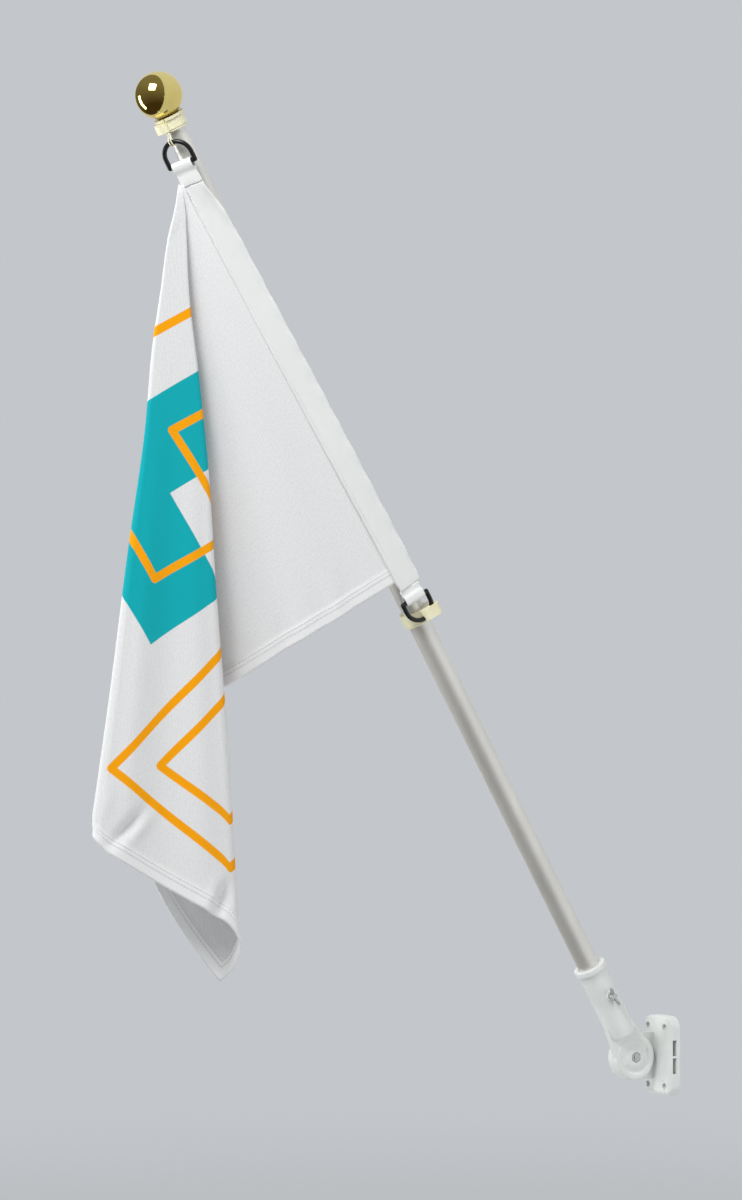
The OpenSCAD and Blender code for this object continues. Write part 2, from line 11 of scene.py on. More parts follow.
import bmesh
import bpy
import numpy as np
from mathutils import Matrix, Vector


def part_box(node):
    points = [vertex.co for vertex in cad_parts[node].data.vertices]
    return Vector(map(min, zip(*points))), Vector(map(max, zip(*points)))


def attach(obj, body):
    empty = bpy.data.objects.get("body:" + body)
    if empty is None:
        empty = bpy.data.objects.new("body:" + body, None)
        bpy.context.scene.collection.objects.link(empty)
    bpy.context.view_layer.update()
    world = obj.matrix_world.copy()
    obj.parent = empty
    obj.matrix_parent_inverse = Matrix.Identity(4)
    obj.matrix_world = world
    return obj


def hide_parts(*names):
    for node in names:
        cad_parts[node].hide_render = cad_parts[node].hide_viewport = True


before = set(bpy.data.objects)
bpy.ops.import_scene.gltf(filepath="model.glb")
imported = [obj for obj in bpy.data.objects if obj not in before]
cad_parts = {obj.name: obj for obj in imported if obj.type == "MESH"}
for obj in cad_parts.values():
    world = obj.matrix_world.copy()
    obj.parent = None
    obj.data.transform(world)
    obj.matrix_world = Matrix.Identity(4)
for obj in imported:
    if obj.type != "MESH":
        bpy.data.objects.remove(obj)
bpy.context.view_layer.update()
scene = bpy.context.scene
scene.view_settings.view_transform = "Standard"
MM = 0.001

# %% [markdown]
# The camera stands level, a little over four metres off, with a long lens. A long lens
# flattens perspective, as in a catalogue picture, so the pole keeps an even width all the
# way up. The place is worked out from the hinge, which is the bracket's tilt axis: so far
# back along the view, so far to the left and so far above it.

# %% Camera
VIEW_TURN = math.radians(30.6)
ALONG = Vector((math.sin(VIEW_TURN), math.cos(VIEW_TURN), 0))
RIGHT = Vector((math.cos(VIEW_TURN), -math.sin(VIEW_TURN), 0))
HINGE = Vector((-0.045, 0, 0))
CAMERA_BACK, CAMERA_LEFT, CAMERA_UP = 4.3, 0.294, 0.511
camera_data = bpy.data.cameras.new("camera")
camera_data.sensor_width, camera_data.lens = 36, 115.38             # millimetres
camera = bpy.data.objects.new("camera", camera_data)
camera.location = HINGE - CAMERA_BACK * ALONG - CAMERA_LEFT * RIGHT + Vector((0, 0, CAMERA_UP))
camera.rotation_euler = ALONG.to_track_quat("-Z", "Y").to_euler()
scene.collection.objects.link(camera)
scene.camera = camera
print("camera at", tuple(round(c, 3) for c in camera.location))

# %% [markdown]
# Colours are written as the hex values that a paint chart would give. A screen colour is
# not the amount of light, so one function turns it into the linear numbers that the shader
# wants. A second small function adds a node with its settings and links, so a material
# reads as a list of what it is made of.

# %% Colour and node helpers
def linear(hex_colour):
    parts = [int(hex_colour[i:i + 2], 16) / 255 for i in (1, 3, 5)]
    return tuple(p / 12.92 if p <= 0.04045 else ((p + 0.055) / 1.055) ** 2.4 for p in parts) + (1.0,)


def add(tree, kind, inputs=None, **settings):
    made = tree.nodes.new(kind)
    for name, value in settings.items():
        setattr(made, name, value)
    for name, value in (inputs or {}).items():
        if isinstance(value, bpy.types.NodeSocket):
            tree.links.new(value, made.inputs[name])
        else:
            made.inputs[name].default_value = value
    return made


def start_material(name, **values):
    material = bpy.data.materials.new(name)
    material.use_nodes = True
    tree = material.node_tree
    shader = tree.nodes["Principled BSDF"]
    for socket, value in values.items():
        shader.inputs[socket.replace("_", " ")].default_value = value
    return material, tree, shader


print("white paint #E3E6E5 is", [round(c, 3) for c in linear("#E3E6E5")])

# %% [markdown]
# The studio is a wide, matt, pale floor under an even sky. The floor fades into the colour
# of the sky a few metres out, so that no horizon cuts through the view from any side. That
# faded part glows at full strength only where it is looked at. As a light it is kept low, or
# it would wash out the shade under the cloth. It lies well below the bracket, because the
# pole can be tilted until the cloth hangs far down.

# %% Floor
SKY = "#C3C6CA"
FLOOR_Z = -0.75
bpy.ops.mesh.primitive_circle_add(vertices=96, radius=30, fill_type="NGON",
                                  location=(-0.3, 0, FLOOR_Z))
floor = bpy.context.object
floor.name = "studio_floor"
floor_material, tree, shader = start_material("matt_floor", Roughness=0.9)
place = add(tree, "ShaderNodeTexCoord")
reach = add(tree, "ShaderNodeVectorMath", {0: place.outputs["Object"]}, operation="LENGTH")
fade = add(tree, "ShaderNodeMapRange", {"Value": reach.outputs["Value"], "From Min": 1.0,
                                        "From Max": 5.5}, interpolation_type="SMOOTHSTEP")
shader.inputs["Base Color"].default_value = linear("#E4E6E8")
looked_at = add(tree, "ShaderNodeLightPath").outputs["Is Camera Ray"]
level = add(tree, "ShaderNodeMath", {0: looked_at, 1: 0.7, 2: 0.3},
            operation="MULTIPLY_ADD").outputs[0]
glow = add(tree, "ShaderNodeEmission", {"Color": linear(SKY), "Strength": level})
blend = add(tree, "ShaderNodeMixShader", {0: fade.outputs["Result"], 1: shader.outputs[0],
                                          2: glow.outputs[0]})
tree.links.new(blend.outputs[0], tree.nodes["Material Output"].inputs["Surface"])
floor.data.materials.append(floor_material)
print("floor at", FLOOR_Z, "m")

# %% Sky
world = bpy.data.worlds.new("studio_sky")
world.use_nodes = True
scene.world = world
tree = world.node_tree
rays = add(tree, "ShaderNodeLightPath")
clear = add(tree, "ShaderNodeMath", {0: rays.outputs["Is Camera Ray"],
                                     1: rays.outputs["Is Transmission Ray"]}, operation="MAXIMUM")
seen = add(tree, "ShaderNodeMath", {0: clear.outputs[0], 1: rays.outputs["Is Glossy Ray"]},
           operation="MAXIMUM")
light = add(tree, "ShaderNodeBackground", {"Color": linear("#DEDEDC"), "Strength": 0.50})
backdrop = add(tree, "ShaderNodeBackground", {"Color": linear(SKY), "Strength": 1.0})
sky = add(tree, "ShaderNodeMixShader", {0: seen.outputs[0], 1: light.outputs[0],
                                        2: backdrop.outputs[0]})
tree.links.new(sky.outputs[0], tree.nodes["World Output"].inputs["Surface"])
print("sky seen as", SKY)

# %% [markdown]
# Large soft lamps do the modelling: a key from the front and left, a tall strip far left, a
# weak fill from the right and one behind. Shiny metal looks like metal only when it mirrors
# something dark beside something pale, so two half domes stand for the room: dim on the open
# side and pale on the side of the wall. Only reflections see them, so they light nothing.

# %% Lamps
def soft_lamp(name, place, aim, size, power):
    data = bpy.data.lights.new(name, "AREA")
    data.shape, data.size, data.size_y, data.energy = "RECTANGLE", size[0], size[1], power
    lamp = bpy.data.objects.new(name, data)
    lamp.location = place
    lamp.rotation_euler = (Vector(aim) - Vector(place)).to_track_quat("-Z", "Y").to_euler()
    scene.collection.objects.link(lamp)
    return lamp


MIDDLE = Vector((-0.4, 0, 0.5))
LAMPS = [                       # name, along the view, to its right, up, size in metres, watts
    ("key_lamp", -1.50, -1.05, 1.55, (1.0, 1.0), 46),
    ("side_lamp", 0.35, -1.9, -0.25, (0.5, 1.6), 15),
    ("fill_lamp", -1.4, 2.4, 0.6, (1.6, 2.0), 27),
    ("back_lamp", 2.2, 0.6, 1.8, (1.4, 1.4), 18),
]
lamps = [soft_lamp(name, MIDDLE + along * ALONG + right * RIGHT + Vector((0, 0, up)), MIDDLE, size, power)
         for name, along, right, up, size, power in LAMPS]
for lamp in lamps[2:]:
    lamp.visible_glossy = False
print("lamps:", [lamp.name for lamp in lamps])

# %% Two half domes that only reflections see
DOME_CENTRE, DOME_REACH, DOME_STEPS = (-0.64, 0, 1.0), 5.0, 25


def half_dome(name, first_turn, low_colour, high_colour):
    """One side of a room, shaded from its floor to its ceiling."""
    (x, y, z), rows = DOME_CENTRE, []
    for tilt in np.radians(np.linspace(-89.9, 89.9, DOME_STEPS)):
        for turn in np.radians(first_turn + np.linspace(0, 180, DOME_STEPS)):
            rows.append((x + DOME_REACH * math.cos(tilt) * math.cos(turn),
                         y + DOME_REACH * math.cos(tilt) * math.sin(turn), z + DOME_REACH * math.sin(tilt)))
    n = DOME_STEPS
    faces = [(i * n + j, i * n + j + 1, i * n + j + n + 1, i * n + j + n)
             for i in range(n - 1) for j in range(n - 1)]
    mesh = bpy.data.meshes.new(name)
    mesh.from_pydata(rows, [], faces)
    side = bpy.data.objects.new(name, mesh)
    # painted reflection: each dome glows with the colours of one side of a room, darker towards its floor
    painted_reflection, tree, _ = start_material(name + "_felt")
    place = add(tree, "ShaderNodeTexCoord").outputs["Object"]
    height = add(tree, "ShaderNodeSeparateXYZ", {0: place}).outputs["Z"]
    level = add(tree, "ShaderNodeMapRange", {"Value": height, "From Min": -2.5, "From Max": 4.5})
    ramp = add(tree, "ShaderNodeValToRGB", {"Fac": level.outputs["Result"]})
    for end, colour in zip(ramp.color_ramp.elements, (low_colour, high_colour)):
        end.color = linear(colour)
    dim = add(tree, "ShaderNodeEmission", {"Color": ramp.outputs["Color"]})
    tree.links.new(dim.outputs[0], tree.nodes["Material Output"].inputs["Surface"])
    mesh.materials.append(painted_reflection)
    scene.collection.objects.link(side)
    side.visible_camera = side.visible_diffuse = side.visible_shadow = side.visible_transmission = False
    return side


domes = [half_dome("dim_side", 90, "#40341F", "#827C68"), half_dome("pale_side", -90, "#CFCFCB", "#DCDEE0")]
floor.visible_glossy = False            # the domes reach below the floor and stand for it in reflections
print("domes:", [dome.name for dome in domes])

# %% [markdown]
# Each finish starts from what the real surface is and how it was made. The bracket is an
# aluminium die casting with white powder paint. Powder flows out in the oven but never quite
# flat, so the paint has a faint orange-peel skin a millimetre or two across, and its gloss is
# a little uneven. Both come from noise in object space, where one unit is a metre.

# %% Painted casting
def noise(tree, per_metre, detail=3.0, rough=0.5, stretch=None, turn=(0, 0, 0)):
    where = add(tree, "ShaderNodeTexCoord").outputs["Object"]
    if stretch:
        where = add(tree, "ShaderNodeMapping", {"Vector": where, "Rotation": turn,
                                                "Scale": stretch}).outputs[0]
    return add(tree, "ShaderNodeTexNoise", {"Vector": where, "Scale": per_metre, "Detail": detail,
                                            "Roughness": rough}).outputs["Fac"]


def tone(tree, shader, amount, dark, pale, low=0.3, high=0.7):
    ramp = add(tree, "ShaderNodeValToRGB", {"Fac": amount})
    for end, position, colour in zip(ramp.color_ramp.elements, (low, high), (dark, pale)):
        end.position, end.color = position, linear(colour)
    tree.links.new(ramp.outputs["Color"], shader.inputs["Base Color"])
    return ramp.outputs["Color"]


def gloss(tree, shader, amount, low, high):
    spread = add(tree, "ShaderNodeMapRange", {"Value": amount, "From Min": 0.25, "From Max": 0.75,
                                              "To Min": low, "To Max": high})
    tree.links.new(spread.outputs["Result"], shader.inputs["Roughness"])


def relief(tree, shader, height, depth_mm, strength):
    bump = add(tree, "ShaderNodeBump", {"Height": height, "Distance": depth_mm * MM, "Strength": strength})
    tree.links.new(bump.outputs["Normal"], shader.inputs["Normal"])


powder_paint, tree, shader = start_material("powder_painted_casting", IOR=1.5)
tone(tree, shader, noise(tree, 22, 4), "#DADEDC", "#E6E9E7")
gloss(tree, shader, noise(tree, 130, 2), 0.26, 0.36)
relief(tree, shader, noise(tree, 700, 2), 0.035, 0.6)         # orange peel about 1.4 mm across
print(powder_paint.name, len(tree.nodes), "nodes")

# %% [markdown]
# The bolt, the nut, the washer and the thumb screw are steel with a bright zinc plating: a
# metal with a slightly blue-grey colour and a patchy, crystalline gloss.

# %% Zinc plating
zinc_plate, tree, shader = start_material("bright_zinc_plate", Metallic=1.0)
tone(tree, shader, noise(tree, 260, 3), "#C9CCCF", "#E2E4E5")
gloss(tree, shader, noise(tree, 480, 3), 0.22, 0.42)
relief(tree, shader, noise(tree, 1500, 2), 0.01, 0.5)
print(zinc_plate.name, len(tree.nodes), "nodes")

# %% [markdown]
# The pole is aluminium tube, drawn through a die and then anodised to a satin silver. The
# die leaves very fine lines along the tube, which spread each highlight sideways and leave
# it sharp-edged lengthways. The noise is turned to the pole's lean and stretched along it.
# The etched oxide skin scatters part of the light like paint, so the finish is not all metal.

# %% Satin anodised aluminium
POLE_LEAN = math.radians(30)
satin_aluminium, tree, shader = start_material("satin_anodised_aluminium", Metallic=0.6)
drawn = noise(tree, 1, 2, 0.6, stretch=(900, 900, 7), turn=(0, POLE_LEAN, 0))
tone(tree, shader, noise(tree, 1, 3, stretch=(60, 60, 3), turn=(0, POLE_LEAN, 0)), "#DEDEDB", "#E6E6E3")
gloss(tree, shader, drawn, 0.40, 0.48)                          # die lines about 1 mm apart
print(satin_aluminium.name, len(tree.nodes), "nodes")

# %% [markdown]
# The ball is blown plastic with a vacuum-metallised coat under yellow lacquer. That is a
# near-perfect mirror with a gold colour, so it needs little more than a low roughness and
# the faint unevenness of a moulded skin.

# %% Metallised gold
gold_coat, tree, shader = start_material("metallised_gold_lacquer", Metallic=1.0)
tone(tree, shader, noise(tree, 45, 2), "#E8D585", "#F1E093")
gloss(tree, shader, noise(tree, 160, 3), 0.05, 0.09)
relief(tree, shader, noise(tree, 60, 1), 0.02, 0.12)
print(gold_coat.name, len(tree.nodes), "nodes")

# %% [markdown]
# The pole rings are moulded nylon in a warm cream, with a dull sheen that comes straight
# from the mould and a tone that drifts a little from wall to wall. The buckles are black
# acetal, which is denser and slightly waxy, with a fine spark-eroded grain from the mould.

# %% Moulded plastics
cream_nylon, tree, shader = start_material("moulded_cream_nylon", IOR=1.53)
tone(tree, shader, noise(tree, 70, 2), "#E6E1BC", "#EFEBCB")
gloss(tree, shader, noise(tree, 300, 2), 0.36, 0.46)
relief(tree, shader, noise(tree, 500, 2), 0.02, 0.35)
black_acetal, tree, shader = start_material("moulded_black_acetal", IOR=1.48)
tone(tree, shader, noise(tree, 200, 3), "#101113", "#1B1C1F")
gloss(tree, shader, noise(tree, 500, 3), 0.26, 0.40)
relief(tree, shader, noise(tree, 2200, 2), 0.012, 0.6)
print(cream_nylon.name, black_acetal.name)

# %% [markdown]
# Cloth is drawn from its own flat coordinates, in metres, kept as a UV map: u runs out from
# the pole and v runs down it. So the threads, hems and print follow the cloth into every
# fold. The knit is finer than a view from four metres can show, so it is drawn about twice
# as coarse as the real half-millimetre loops.

# %% Thread pattern
def flat_place(tree):
    uv = add(tree, "ShaderNodeUVMap", uv_map="flat")
    scaled = {0: uv.outputs[0], "Scale": 1000.0}
    return add(tree, "ShaderNodeVectorMath", scaled, operation="SCALE").outputs[0]


def threads(tree, place_mm, pitch_mm, turn=0.0, wobble=0.8):
    turned = add(tree, "ShaderNodeMapping", {"Vector": place_mm, "Rotation": (0, 0, math.radians(turn)),
                                             "Scale": (1 / pitch_mm, 1 / pitch_mm, 1)}).outputs[0]
    return add(tree, "ShaderNodeTexWave", {"Vector": turned, "Scale": 0.3183, "Distortion": wobble,
                                           "Detail": 2.0, "Detail Scale": 1.5},
               wave_type="BANDS", bands_direction="X").outputs["Fac"]


def woven(tree, place_mm, pitch_mm, wobble=0.8):
    along = threads(tree, place_mm, pitch_mm, 0, wobble)
    across = threads(tree, place_mm, pitch_mm, 90, wobble)
    return add(tree, "ShaderNodeMath", {0: along, 1: across}, operation="MULTIPLY").outputs[0]


print("patterns are drawn on the UV map called flat")

# %% Webbing of the header and tabs
white_webbing, tree, shader = start_material("woven_white_webbing", Roughness=0.72, Sheen_Weight=0.15,
                                             Sheen_Roughness=0.5)
place_mm = flat_place(tree)
weave = woven(tree, place_mm, 1.3)
tone(tree, shader, weave, "#DFE1E0", "#F6F7F6", 0.0, 0.5)
relief(tree, shader, weave, 0.22, 0.7)
print(white_webbing.name, len(tree.nodes), "nodes")

# %% [markdown]
# The flag is warp-knitted polyester, the usual flag cloth: thin, open, a little shiny and
# never quite even. A pattern of bars is printed on it in two colours. Each printed line is
# a list of corner points on the flat cloth, and a point belongs to the line when it lies
# less than half a line's width from it. That is worked out in the material for every ray,
# so the edges stay sharp however coarse the mesh is.

# %% Printed pattern, in millimetres on the flat cloth (down the pole, out from the pole)
TEAL, AMBER = "#08A9B3", "#F9A400"
LINE_W = 8.8
LINES = [
    [(46, 150), (78, 94)],
    [(150, 163), (108, 228), (206, 282)],
    [(115, 345), (163, 374), (224, 280)],
    [(278, 374), (209, 571), (380, 596), (398, 545)],
    [(305, 414), (259, 542), (357, 552), (369, 520)],
]
SQUARE_TURN = math.radians(30)
SQUARE = (169.6, 383, -283, -62)    # along and across its own turned axes
NOTCH = (261.5, -180.5)             # the white corner let into the square
NUMBER, VECTOR = "ShaderNodeMath", "ShaderNodeVectorMath"


def measure(tree, kind, *values, operation):
    """What a node of that kind works out from values given in the order of its sockets."""
    outputs = add(tree, kind, dict(enumerate(values)), operation=operation).outputs
    return outputs["Value"] if operation in ("DOT_PRODUCT", "DISTANCE") else outputs[0]


def line_distance(tree, place, start, end):
    """How far a point of the cloth is from one straight length of printed line."""
    length = math.dist(start, end)
    way = ((end[1] - start[1]) / length, (end[0] - start[0]) / length, 0)
    off = measure(tree, VECTOR, place, (start[1], start[0], 0), operation="SUBTRACT")
    run = measure(tree, VECTOR, off, way, operation="DOT_PRODUCT")
    held = add(tree, "ShaderNodeClamp", {"Value": run, "Min": 0.0, "Max": length}).outputs[0]
    foot = add(tree, VECTOR, {0: way, "Scale": held}, operation="SCALE").outputs[0]
    return measure(tree, VECTOR, off, foot, operation="DISTANCE")


def extreme(tree, values, operation):
    best = values[0]
    for value in values[1:]:
        best = measure(tree, NUMBER, best, value, operation=operation)
    return best


def inside(tree, distance, soft_mm=0.35):
    return add(tree, "ShaderNodeMapRange", {"Value": distance, "From Min": -soft_mm, "From Max": soft_mm,
                                            "To Min": 1.0, "To Max": 0.0}).outputs["Result"]


def printed_masks(tree, place):
    """Where the cloth is amber, and where it is teal, each from 0 to 1."""
    spans = [line_distance(tree, place, a, b) for line in LINES for a, b in zip(line, line[1:])]
    amber = measure(tree, NUMBER, extreme(tree, spans, "MINIMUM"), LINE_W / 2, operation="SUBTRACT")
    cos_t, sin_t = math.cos(SQUARE_TURN), math.sin(SQUARE_TURN)
    along, across = (measure(tree, VECTOR, place, axis, operation="DOT_PRODUCT")
                     for axis in ((sin_t, cos_t, 0), (-cos_t, sin_t, 0)))

    def beyond(value, edge, sign):
        gap = measure(tree, NUMBER, value, edge, operation="SUBTRACT")
        return measure(tree, NUMBER, gap, sign, operation="MULTIPLY")

    square = extreme(tree, [beyond(along, SQUARE[0], -1), beyond(along, SQUARE[1], 1),
                            beyond(across, SQUARE[2], -1), beyond(across, SQUARE[3], 1)], "MAXIMUM")
    notch = extreme(tree, [beyond(along, NOTCH[0], -1), beyond(across, NOTCH[1], -1)], "MAXIMUM")
    kept = measure(tree, NUMBER, notch, -1.0, operation="MULTIPLY")
    return inside(tree, amber), inside(tree, extreme(tree, [square, kept], "MAXIMUM"))


print("printed lines:", sum(len(line) - 1 for line in LINES), "lengths")

# %% [markdown]
# The cloth's colour is built up in layers, as the real one is: the knit with its faint slanting
# ribs, a paler band where the hem is double and the two inks over all of that. Under the inks
# lie two lines of painted shade, where the stitches draw the cloth into grooves. Ink sinks
# into a knit, so it adds no gloss.

# %% Knitted polyester
HOIST, FLY, HEM = 0.478, 0.650, 0.017
flag_knit, tree, shader = start_material("knitted_polyester", Roughness=0.65, Specular_IOR_Level=0.12)
place_mm = flat_place(tree)
knit = woven(tree, place_mm, 1.15, 1.6)
wales = threads(tree, place_mm, 3.4, 58, 3.0)                  # faint slanting ribs of the knit
speckle = add(tree, "ShaderNodeTexNoise", {"Vector": place_mm, "Scale": 0.36, "Detail": 2.0,
                                           "Roughness": 0.7}).outputs["Fac"]
ribbed = add(tree, "ShaderNodeMix", {"Factor": 0.25, 2: knit, 3: wales}).outputs[0]
mixed = add(tree, "ShaderNodeMix", {"Factor": 0.62, 2: ribbed, 3: speckle}).outputs[0]
single = tone(tree, shader, mixed, "#D8D9DA", "#EBEBEC", 0.18, 0.66)
flat_uv = add(tree, "ShaderNodeSeparateXYZ", {0: place_mm})
to_edge = [measure(tree, NUMBER, 1000 * size, flat_uv.outputs[axis], operation="SUBTRACT")
           for size, axis in ((FLY, "X"), (HOIST, "Y"))]
hem_distance = measure(tree, NUMBER, extreme(tree, to_edge, "MINIMUM"), 1000 * HEM, operation="SUBTRACT")
STITCH_ROWS = (2.0, 6.5)                      # millimetres outside the hem's inner edge
# painted shade: a darker line along each stitch row stands for the shade in the groove that the stitches
# pull into the cloth; the groove itself is not modelled
stitch_groove_shades = []
for row in STITCH_ROWS:
    off_row = measure(tree, NUMBER, hem_distance, row, operation="ADD")
    off_row = measure(tree, NUMBER, off_row, operation="ABSOLUTE")
    off_row = measure(tree, NUMBER, off_row, 0.55, operation="SUBTRACT")
    stitch_groove_shades.append(inside(tree, off_row, 0.5))
painted_groove_shade = measure(tree, NUMBER, extreme(tree, stitch_groove_shades, "MAXIMUM"), 0.55, operation="MULTIPLY")
on_hem = measure(tree, NUMBER, inside(tree, hem_distance), 0.55, operation="MULTIPLY")
in_amber, in_teal = printed_masks(tree, place_mm)
inked = single
# A9ABAE is the painted shade along the stitch rows
for where, colour in ((on_hem, "#F1F1F2"), (painted_groove_shade, "#A9ABAE"), (in_teal, TEAL), (in_amber, AMBER)):
    inked = add(tree, "ShaderNodeMix", {"Factor": where, 6: inked, 7: linear(colour)},
                data_type="RGBA").outputs[2]
tree.links.new(inked, shader.inputs["Base Color"])
relief(tree, shader, mixed, 0.2, 0.6)
print(flag_knit.name, len(tree.nodes), "nodes")

# %% [markdown]
# The flag was a flat rectangle. It hangs from one corner, so gravity pulls it into straight
# threads that fan out from that corner, and the fan folds back on itself like a hand of
# cards. A sheet bent only along straight lines through one point is a cone, and a cone
# unrolls without stretching. So the cloth is drawn as a path on a small sphere round the
# corner: as far along the path as the thread's angle on the flat cloth. That keeps every
# length true.

# %% How the cloth folds
# FOLDS gives the direction from straight down in degrees, and how far it leans back, at each
# turn of the folded fan. The last turns are waves in the hidden layers. ROUND gives how
# widely each turn is rounded.
CORNER = Vector((-0.6155, -0.0038, 0.9390))
FOLDS = [(30.9, -0.040), (8.6, 0.046), (3.8, 0.130), (-1.2, 0.080), (-6.1, 0.138), (-6.1, 0.018),
         (0.2, 0.052), (5.0, 0.022), (5.0, -0.024), (-9.55, -0.024), (-9.55, -0.002), (2.7, 0.000),
         (2.7, 0.014), (-1.0, 0.014)]
ROUND = [0, 0.12, 0.035, 0.035, 0.060, 0.060, 0.09, 0.023, 0.023, 0.011, 0.011, 0.006, 0.006, 0]
# the thread angles, in degrees on the flat cloth, at which the folds fall
BACK_FOLD, ROLL, FRONT_FOLD, INNER_FOLD = 40.2, 56.2, 71.5, 83.7


def rounded_path(points, radii, steps=14):
    """The path through the points with each corner rounded to its radius, where there is room."""
    path = [points[0]]
    for i in range(1, len(points) - 1):
        here = points[i]
        back, on = points[i - 1] - here, points[i + 1] - here
        room = min(np.linalg.norm(back), np.linalg.norm(on)) / 2
        back, on = back / np.linalg.norm(back), on / np.linalg.norm(on)
        half = math.acos(float(np.clip(back @ on, -1, 1))) / 2
        reach = min(radii[i] / math.tan(half), room)
        radius = reach * math.tan(half)
        middle = here + (back + on) / np.linalg.norm(back + on) * radius / math.sin(half)
        first, last = here + back * reach - middle, here + on * reach - middle
        start = math.atan2(first[1], first[0])
        sweep = (math.atan2(last[1], last[0]) - start + math.pi) % (2 * math.pi) - math.pi
        for angle in (start + sweep * k / steps for k in range(steps + 1)):
            path.append(middle + radius * np.array((math.cos(angle), math.sin(angle))))
    return np.array(path + [points[-1]])


fold_path = rounded_path([np.array((math.radians(a), lean)) for a, lean in FOLDS], ROUND)
path_run = np.concatenate([[0], np.cumsum(np.linalg.norm(np.diff(fold_path, axis=0), axis=1))])
print("folded path is", round(math.degrees(path_run[-1]), 1), "degrees of cloth; the corner has 90")

# %% [markdown]
# On top of the straight threads come small moves, each fading in and out smoothly: the bulge
# below the gathered corner, one soft fold down the front, the free corner that turns in under
# the roll, and the short slanting creases above the hem. A crease is a bell-shaped dent
# whose middle shifts across the threads as it runs down. The moves stretch the cloth a
# little, as a knit allows. All of it is worked out in code, because the folds have to lie
# where this flag's folds lie, which a simulation won't promise.

# %% From the flat cloth to its hung place
CREASES = [         # middle in degrees, distance from the corner, depth in metres, slant in degrees a metre
    (67.6, 0.667, 0.0066, 70), (66.4, 0.668, -0.0020, 70), (58.4, 0.742, 0.0068, 40),
    (59.6, 0.738, -0.0022, 40), (69.8, 0.64, -0.0016, 0),
]


def smooth(value, low, high):
    """0 up to low, 1 from high on, and an even rise between."""
    t = np.clip((value - low) / (high - low), 0, 1)
    return t * t * (3 - 2 * t)


def bell(value, middle, width):
    return np.exp(-((value - middle) / width) ** 2)


def thread_end(turn):
    """How long the thread at that angle is, from the corner to the cloth's edge."""
    return np.minimum(HOIST / np.maximum(np.cos(turn), 1e-6), FLY / np.maximum(np.sin(turn), 1e-6))


def hang(turn, length):
    """Place in the air of the point of cloth at that thread angle and that distance from the corner."""
    swing = np.interp(turn, path_run, fold_path[:, 0])
    lean = np.interp(turn, path_run, fold_path[:, 1])
    degrees, share = np.degrees(turn), length / thread_end(turn)
    way = np.stack([np.sin(swing), lean, -np.cos(swing)], -1)
    way /= np.linalg.norm(way, axis=-1, keepdims=True)
    place = np.array(CORNER) + way * length[..., None]
    low = smooth(share, 0.2, 0.9)
    # the left side bulges out below the gathered corner, and the roll is drawn in there
    left = np.interp(degrees, [0, 22, BACK_FOLD, ROLL, FRONT_FOLD, INNER_FOLD, 90],
                     [0, 0, 1, 0, 1, 0.15, 0.9])
    place[..., 0] -= left * (0.0075 * bell(length, 0.055, 0.05) + 0.0095 * bell(length, 0.155, 0.085)
                             + 0.0035 * bell(length, 0.36, 0.13))
    right = np.interp(degrees, [0, BACK_FOLD, ROLL, FRONT_FOLD, 90], [0, 0, 1, 0, 0])
    place[..., 0] -= right * (0.0035 * bell(length, 0.11, 0.06) - 0.0025 * bell(length, 0.30, 0.08))
    # the gathered corner is drawn up to the header's top
    place += bell(length, 0.0, 0.018)[..., None] * np.array((-0.0022, 0.0, 0.0065))
    # one broad soft fold down the front panel, and shallow ones across the wide back panel
    front = smooth(degrees, ROLL + 1.0, ROLL + 4.5) * (1 - smooth(degrees, FRONT_FOLD - 4, FRONT_FOLD - 1))
    place[..., 1] += low * front * 0.0024 * np.cos((degrees - 63.9) * 0.683)
    panel = smooth(degrees, 1, 8) * (1 - smooth(degrees, 22, 30))
    place[..., 1] += low * panel * 0.0022 * np.sin(degrees * 0.40 + 0.9)
    # the free corner hangs lower and turns in under the roll
    tail = (1 - smooth(degrees, 54.2, 58.4)) * smooth(degrees, 43, 53.7) * smooth(share, 0.72, 1.0)
    place += tail[..., None] * np.array((-0.006, 0.002, -0.026))
    # creases and ripples above the lower hem, and the rounded corner at the front fold
    hem = smooth(share, 0.88, 1.0)
    for middle, reach, deep, slant in CREASES:
        crease = middle + slant * (length - reach)
        place[..., 1] += deep * bell(degrees, crease, 0.62) * bell(length, reach, 0.017)
    place[..., 1] += hem * panel * 0.0013 * np.sin(degrees * 1.25)
    corner = bell(degrees, FRONT_FOLD - 0.1, 1.3) * smooth(share, 0.955, 1.0)
    place += corner[..., None] * np.array((0.004, -0.002, 0.007))
    return place


print("free corner hangs at", hang(np.array([math.radians(53.7)]), np.array([0.8067]))[0].round(3))

# %% [markdown]
# The mesh is a fan of threads. Its rays stand closer together in the sharp folds, and one
# ring of points runs exactly along the inner edge of the hem, so that the hem's step is
# crisp. Solidify then gives the cloth its thickness, two and a half times as much on the hem,
# where the cloth is folded over and sewn down.

# %% Cloth mesh
def build_mesh(name, points, faces, uv=None, material=None):
    mesh = bpy.data.meshes.new(name)
    mesh.from_pydata([tuple(p) for p in points], [], faces)
    mesh.update()
    if uv is not None:
        layer = mesh.uv_layers.new(name="flat")
        corners = np.empty(len(mesh.loops), dtype=np.int32)
        mesh.loops.foreach_get("vertex_index", corners)
        layer.data.foreach_set("uv", np.asarray(uv, dtype=np.float32)[corners].ravel())
    mesh.shade_smooth()
    made = bpy.data.objects.new(name, mesh)
    scene.collection.objects.link(made)
    if material:
        mesh.materials.append(material)
    return made


def grid_faces(rows, columns, closed=False):
    """Faces between rows of points, with the last column joined to the first where it is closed."""
    return [(i * columns + j, i * columns + (j + 1) % columns,
             (i + 1) * columns + (j + 1) % columns, (i + 1) * columns + j)
            for i in range(rows - 1) for j in range(columns if closed else columns - 1)]


def tube_faces(rows, columns):
    """Faces of a closed tube made of rings of points, with a cap on each end."""
    caps = [tuple(range(columns))[::-1], tuple((rows - 1) * columns + i for i in range(columns))]
    return grid_faces(rows, columns, closed=True) + caps


